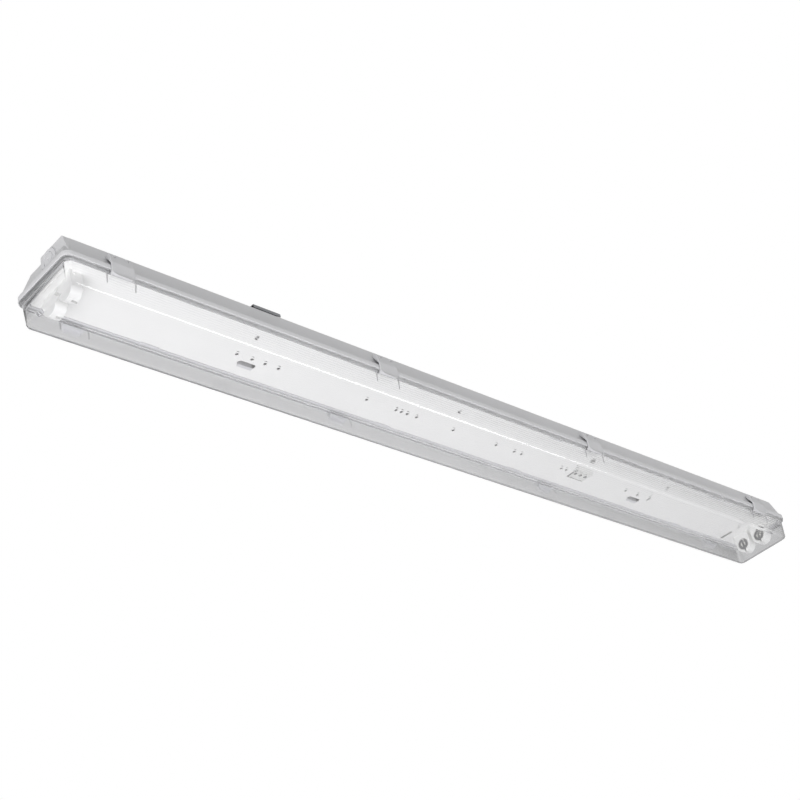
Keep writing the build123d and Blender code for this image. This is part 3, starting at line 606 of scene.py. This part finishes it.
def coverProfile():
    # stretches in order: outer face, rounded lower edge, wall, chamfer, flange, tongue, then inside down the
    # ribbed wall, round the inner bend and over the ribbed face
    c = cover
    depth, outer, inner = c["depth"], c["faceRound"], c["innerRound"]
    gap, top, low = c["flangeGap"], c["flangeTop"], c["flangeLow"]
    faceInset = coverInset(-depth)
    a = np.radians(np.linspace(270, 180, c["outerSteps"]))[1:]
    bendIn = outer + outer * np.cos(a)
    bendUp = outer + outer * np.sin(a)
    bend = faceInset + bendIn[:, None] - coverLean * bendUp[:, None]
    outside = [
        profileRows(faceInset + outer + c["faceMargin"], c["faceCorner"], -depth),
        profileRows(faceInset + outer, c["corner"] - outer, -depth),
        profileRows(bend, c["corner"] - bendIn, bendUp - depth),
        profileRows(coverInset(chamferRoot - c["rootDrop"]), c["corner"], chamferRoot - c["rootDrop"]),
    ]
    flangeEdge, tongueEdge = c["flangeEdge"], c["tongueEdge"]
    tongueOut, tongueIn, tongueTop = c["tongueOut"], c["tongueIn"], c["tongueTop"]
    flange = rimRows(
        [gap + c["flangeReach"] - c["rootEdge"], gap + c["chamferEdge"], gap, gap, gap + flangeEdge],
        [chamferRoot + c["rootEdge"], low - c["chamferEdge"], low + flangeEdge, top - flangeEdge, top])
    tongue = rimRows(
        [tongueOut, tongueOut, tongueOut + tongueEdge, tongueIn - tongueEdge, tongueIn, tongueIn],
        [top, tongueTop - tongueEdge, tongueTop, tongueTop, tongueTop - tongueEdge, top])
    floorZ = c["faceThick"] - depth
    foldZ = floorZ + inner
    t, rib = ribWave(round((top - foldZ) / c["ribPitch"]))
    wallZ = top + (foldZ - top) * t
    ribbed = coverInset(wallZ) + c["wall"] + np.stack([np.zeros_like(rib), c["ribFoot"] + rib], axis=-1)
    base = coverInset(floorZ) + c["wall"]
    innerCorner = c["corner"] - c["wall"]
    a = np.radians(np.linspace(180, 270, c["innerSteps"]))[1:-1]
    foldIn = inner + inner * np.cos(a)
    foldUp = inner + inner * np.sin(a)
    fold = base + foldIn[:, None] - coverLean * foldUp[:, None]
    t, faceRib = ribWave(round(c["ribBand"] / c["ribPitch"]))
    inside = [
        profileRows(ribbed, innerCorner, wallZ),
        profileRows(fold, innerCorner - foldIn, floorZ + foldUp),
        profileRows(base + inner + c["ribBand"] * t[:, None], innerCorner - inner, floorZ, faceRib),
    ]
    return np.concatenate([*outside, flange, tongue, *inside])


coverRows = coverProfile()
coverVerts, coverFaces = loopStack(coverRows)
diffuser = finishPiece("diffuserCover", coverVerts, coverFaces, "clearPolycarbonate", "diffuser",
                       "clear_cover")
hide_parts("diffuser")


def frostFlange():
    # the profile rows above the foot of the chamfer and outside the inner wall are flange and tongue
    inset, height = coverRows[:, 0], coverRows[:, 3]
    frosted = (height > chamferRoot) & (inset < cover["tongueIn"] + cover["frostMargin"])
    around = len(coverVerts) // len(coverRows)
    rowOfFace = np.minimum(np.arange(len(coverFaces)) // around, len(coverRows) - 1)
    paintFaces(diffuser.data, "erodedPolycarbonate", frosted[rowOfFace])


frostFlange()

gusset = {"thick": 1.4, "offset": 17.7, "low": -16.975, "clear": 0.03, "footDrop": 0.2, "outDrop": 0.1}


def gussetOutline():
    # thin upright web beside a clip: a triangle from the chamfer of the flange down to the wall
    c, g = cover, gusset
    foot, low = halfW - coverInset([chamferRoot, g["low"]])[:, 1] + g["clear"]
    out = halfW - c["flangeGap"] - c["flangeReach"] / 2
    middle = c["flangeLow"] - c["chamfer"] / 2
    return [(foot, chamferRoot - g["footDrop"]), (out, middle - g["outDrop"]), (low, g["low"])]


webParts = alongSides(gussetOutline(), paired(clipX, gusset["offset"]), gusset["thick"] / 2)
webs = finishPiece("coverGussets", *joinParts(webParts), "erodedPolycarbonate", "diffuser", "clear_cover")
print("diffuser cover", len(diffuser.data.polygons), "and webs", len(webs.data.polygons))


# Nodes: moulded and bent pieces get soft edges on a merged copy, the rest keep their mesh

nodeLooks = {  # start of the node's name: finish, edge round in mm (none: the node stays as it is)
    "gasket": ("greyGasketFoam", 0), "gear_tray": ("whiteEnamelSteel", 0), "clip_": ("greyClipAcetal", 0.35),
    "lampholder_contacts": ("rolledBrass", 0), "lampholder_": ("whiteHolderPbt", 0.4),
    "rotor_": ("whiteRotorPbt", 0.25), "terminal_block": ("whiteTerminalNylon", 0.6),
    "terminal_screws": ("zincPlatedSteel", 0), "live_wire_": ("blackSleevePvc", 0),
    "neutral_wire_": ("whiteSleevePvc", 0), "earth_wire": ("greenSleevePvc", 0),
    "earth_terminal": ("rolledBrass", 0), "earth_screw": ("zincPlatedSteel", 0.2),
    "earth_nut": ("zincPlatedSteel", 0.2), "bracket_": ("stainlessSteelPaintedShade", 0.2),
}
nodeBody = {node: body for body, held in frame["record"]["behaviour"]["bodies"].items() for node in held}
softening = {"mergeMm": 0.004, "flatDeg": 0.4, "sharpDeg": 32.0, "roundFromDeg": 35.0}
rotor = {"lampY": 15.0, "lampDrop": 16.0, "rim": 0.3, "channel": 8.3}
terminal = {"edge": 1.0}


def softCopy(name, node, look, edgeMm):
    # the node's triangles merged to plain faces, with a small round along every sharp edge
    flat = math.radians(softening["flatDeg"])
    work = bmesh.new()
    work.from_mesh(node.data)
    bmesh.ops.remove_doubles(work, verts=work.verts, dist=softening["mergeMm"] * mm)
    bmesh.ops.dissolve_limit(work, angle_limit=flat, verts=work.verts, edges=work.edges)
    mesh = bpy.data.meshes.new(name + ".soft")
    work.to_mesh(mesh)
    work.free()
    shadeSmooth(mesh, softening["sharpDeg"])
    mesh.materials.clear()
    mesh.materials.append(look)
    piece = putIn(name + ".soft", mesh)
    softenEdges(piece, edgeMm, softening["roundFromDeg"])
    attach(piece, nodeBody[name])
    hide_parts(name)
    return piece


def paintRotorChannelShade(piece):
    # faces deeper than the rotor's rim and within its channel's radius belong to channel and slot, and get
    # the painted shade
    centre = faceCentres(piece.data) / mm
    depth = np.abs(centre[:, 0])
    axis = (np.sign(centre[0, 1]) * rotor["lampY"], rimZ - rotor["lampDrop"])
    radius = np.hypot(*(centre[:, 1:] - axis).T)
    deep = (depth > depth.min() + rotor["rim"]) & (radius < rotor["channel"])
    paintFaces(piece.data, "rotorChannelPaintedShade", deep)


def paintTerminalFunnelShade(piece):
    # faces that lie inside the block's own box by the edge's width line the funnels of the screws, and get
    # the painted shade
    mesh = piece.data
    points = np.empty(3 * len(mesh.vertices))
    mesh.vertices.foreach_get("co", points)
    points = points.reshape(-1, 3)
    centre = faceCentres(mesh)
    edge = terminal["edge"] * mm
    within = (centre > points.min(axis=0) + edge) & (centre < points.max(axis=0) - edge)
    paintFaces(mesh, "terminalFunnelPaintedShade", within.all(axis=1))


# painted shade for the rotors' channels and the terminal block's screw funnels
shadePainters = {"rotor_": paintRotorChannelShade, "terminal_block": paintTerminalFunnelShade}
for nodeName, node in list(frame["nodes"].items()):
    start = next((begin for begin in nodeLooks if nodeName.startswith(begin)), None)
    if start is None:  # housing, cover and plugs are replaced above
        continue
    lookName, edgeMm = nodeLooks[start]
    if edgeMm:
        piece = softCopy(nodeName, node, looks[lookName], edgeMm)
        if start in shadePainters:
            shadePainters[start](piece)
    else:
        node.data.materials.clear()
        node.data.materials.append(looks[lookName])
print("nodes dressed")


# Stage, lights and camera

stage = {"below": 3.0, "half": 60.0, "color": "#FDFDFC", "paleShare": 0.88,
         "patchMm": 2000, "patchDetail": 2.0, "rough": (0.75, 0.85)}


def paleFloor(name):
    # painted floor: to the camera mostly its own pale colour, the rest takes the object's shadow
    material, tree, output, coords = newMaterial(name)
    smooth, dull = stage["rough"]
    patches = addNode(tree, "ShaderNodeTexNoise", {
        "Vector": coords, "Scale": perMetre(stage["patchMm"]), "Detail": stage["patchDetail"]})
    rough = addNode(tree, "ShaderNodeMapRange", {
        "Value": patches.outputs["Fac"], "To Min": smooth, "To Max": dull})
    paint = addNode(tree, "ShaderNodeBsdfPrincipled", {
        "Base Color": linear(stage["color"]), "Roughness": rough.outputs["Result"]})
    pale = addNode(tree, "ShaderNodeEmission", {"Color": linear(stage["color"]), "Strength": 1.0})
    path = addNode(tree, "ShaderNodeLightPath")
    share = addNode(tree, "ShaderNodeMath", {
        0: path.outputs["Is Camera Ray"], 1: stage["paleShare"]}, operation="MULTIPLY")
    mix = addNode(tree, "ShaderNodeMixShader", {
        0: share.outputs["Value"], 1: paint.outputs["BSDF"], 2: pale.outputs["Emission"]})
    tree.links.new(mix.outputs["Shader"], output.inputs["Surface"])
    return material


floorMesh = bpy.data.meshes.new("floor")
floorCorners = [(x * stage["half"], y * stage["half"], -stage["below"])
                for x, y in ((-1, -1), (1, -1), (1, 1), (-1, 1))]
floorMesh.from_pydata(floorCorners, [], [(0, 1, 2, 3)])
floorMesh.materials.append(paleFloor("palePaintedFloor"))
floor = putIn("floor", floorMesh)
floor.visible_diffuse = False
floor.visible_shadow = False
floor.visible_glossy = False
floor.visible_transmission = False

# ambient lights the object; behind is the grey that shows through the clear cover, by the X of the direction
room = {"color": "#FFFFFF", "ambient": 0.5, "behindAt": (0.66, 0.77, 0.80), "behindGrey": (0.63, 0.47, 0.34)}
world = bpy.data.worlds.new("paleRoom")
bpy.context.scene.world = world
world.use_nodes = True
tree = world.node_tree
tree.nodes.clear()
path = addNode(tree, "ShaderNodeLightPath")
seen = addNode(tree, "ShaderNodeMath", {
    0: path.outputs["Is Camera Ray"], 1: path.outputs["Is Glossy Ray"]}, operation="MAXIMUM")
ambient = addNode(tree, "ShaderNodeBackground", {"Color": linear(room["color"]), "Strength": room["ambient"]})
white = addNode(tree, "ShaderNodeBackground", {"Color": linear(room["color"]), "Strength": 1.0})
toward = addNode(tree, "ShaderNodeTexCoord").outputs["Generated"]
along = addNode(tree, "ShaderNodeSeparateXYZ", {"Vector": toward}).outputs["X"]
fade = addNode(tree, "ShaderNodeValToRGB", {"Fac": along})
fade.color_ramp.elements.new(0.5)
fillRamp(fade, room["behindAt"], [(grey, grey, grey, 1.0) for grey in room["behindGrey"]])
behind = addNode(tree, "ShaderNodeBackground", {"Color": fade.outputs["Color"], "Strength": 1.0})
mix = addNode(tree, "ShaderNodeMixShader", {
    0: seen.outputs["Value"], 1: ambient.outputs["Background"], 2: white.outputs["Background"]})
mix = addNode(tree, "ShaderNodeMixShader", {
    0: path.outputs["Is Transmission Ray"], 1: mix.outputs["Shader"], 2: behind.outputs["Background"]})
addNode(tree, "ShaderNodeOutputWorld", {"Surface": mix.outputs["Shader"]})

lamps = {  # the key lamp leaves no mirror image, and the gloss lamp lights gloss alone
    "keyLamp": {"at": (-1.9, -0.9, -2.2), "aim": (-0.3, 0.0, -0.05), "size": (2.4, 2.4), "watts": 81,
                "diffuse": True, "glossy": False},
    "edgeLamp": {"at": (1.35, -1.15, -1.15), "aim": (0.1, 0.0, -0.05), "size": (2.6, 0.8), "watts": 6,
                 "diffuse": True, "glossy": True},
    "glossLamp": {"at": (0.7, -1.2, -1.2), "aim": (-0.2, 0.0, -0.05), "size": (1.7, 0.9), "watts": 32,
                  "diffuse": False, "glossy": True},
}
for name, spec in lamps.items():
    data = bpy.data.lights.new(name, "AREA")
    data.shape = "RECTANGLE"
    data.size, data.size_y = spec["size"]
    data.energy = spec["watts"]
    lamp = putIn(name, data)
    lamp.location = spec["at"]
    lamp.rotation_mode = "QUATERNION"
    lamp.rotation_quaternion = (Vector(spec["aim"]) - Vector(spec["at"])).to_track_quat("-Z", "Y")
    lamp.visible_transmission = False
    lamp.visible_diffuse = spec["diffuse"]
    lamp.visible_glossy = spec["glossy"]

view = {"at": (-1.35288, -1.06685, -1.11033), "forward": (0.62996, 0.54622, 0.55208),
        "right": (0.73128, -0.65654, -0.18486), "lens": 70.75, "sensor": 36.0, "clip": (0.05, 200.0)}
cameraData = bpy.data.cameras.new("camera")
cameraData.lens = view["lens"]
cameraData.sensor_width = view["sensor"]
cameraData.clip_start, cameraData.clip_end = view["clip"]
camera = putIn("camera", cameraData)
forward = Vector(view["forward"]).normalized()
right = Vector(view["right"]).normalized()
up = right.cross(forward)
camera.rotation_mode = "QUATERNION"
camera.location = view["at"]
camera.rotation_quaternion = Matrix((right, up, -forward)).transposed().to_quaternion()
bpy.context.scene.camera = camera
bpy.context.scene.view_settings.view_transform = "Standard"
print("stage, lamps and camera set")
